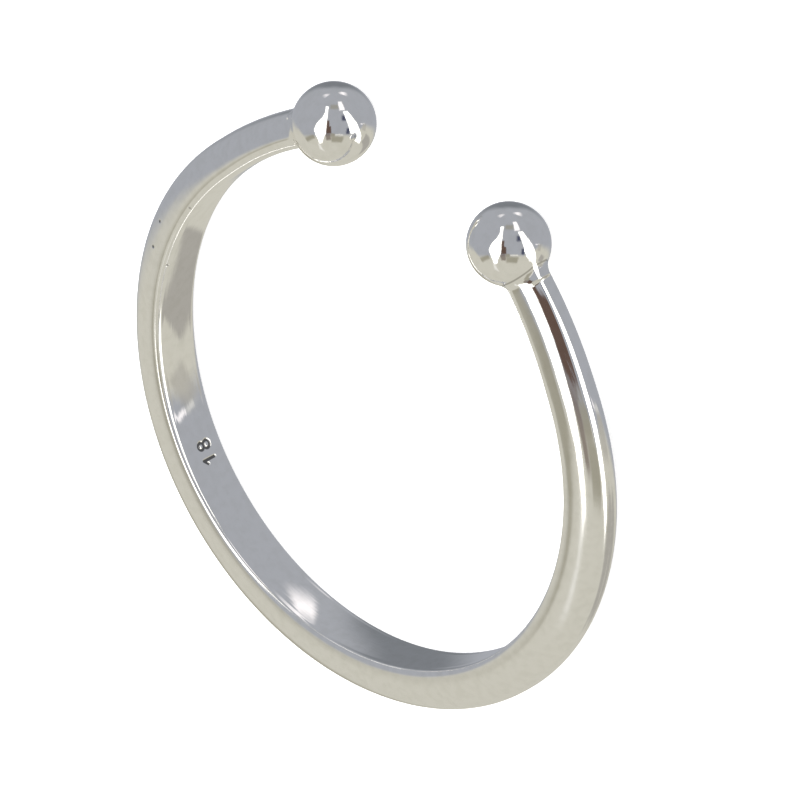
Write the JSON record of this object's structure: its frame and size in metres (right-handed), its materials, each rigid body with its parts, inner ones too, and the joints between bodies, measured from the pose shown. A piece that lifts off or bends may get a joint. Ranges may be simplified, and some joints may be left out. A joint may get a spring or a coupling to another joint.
{
  "type": "open finger ring",
  "caption": "Open finger ring, a band flat inside and domed outside that narrows to round wire, with a polished ball soldered on each end.",
  "frame": {"origin": "centre of the finger hole, halfway through the band", "axes": "+Z along the finger, toward the side of the ring that faces up as it lies; +Y from the back of the band toward the open gap between the balls; +X toward one ball, by the right-hand rule"},
  "size_m": [0.0216, 0.0221, 0.003],
  "materials": {
    "silver": "polished"
  },
  "bodies": {
    "root": {"ring": "silver"}
  },
  "joints": []
}
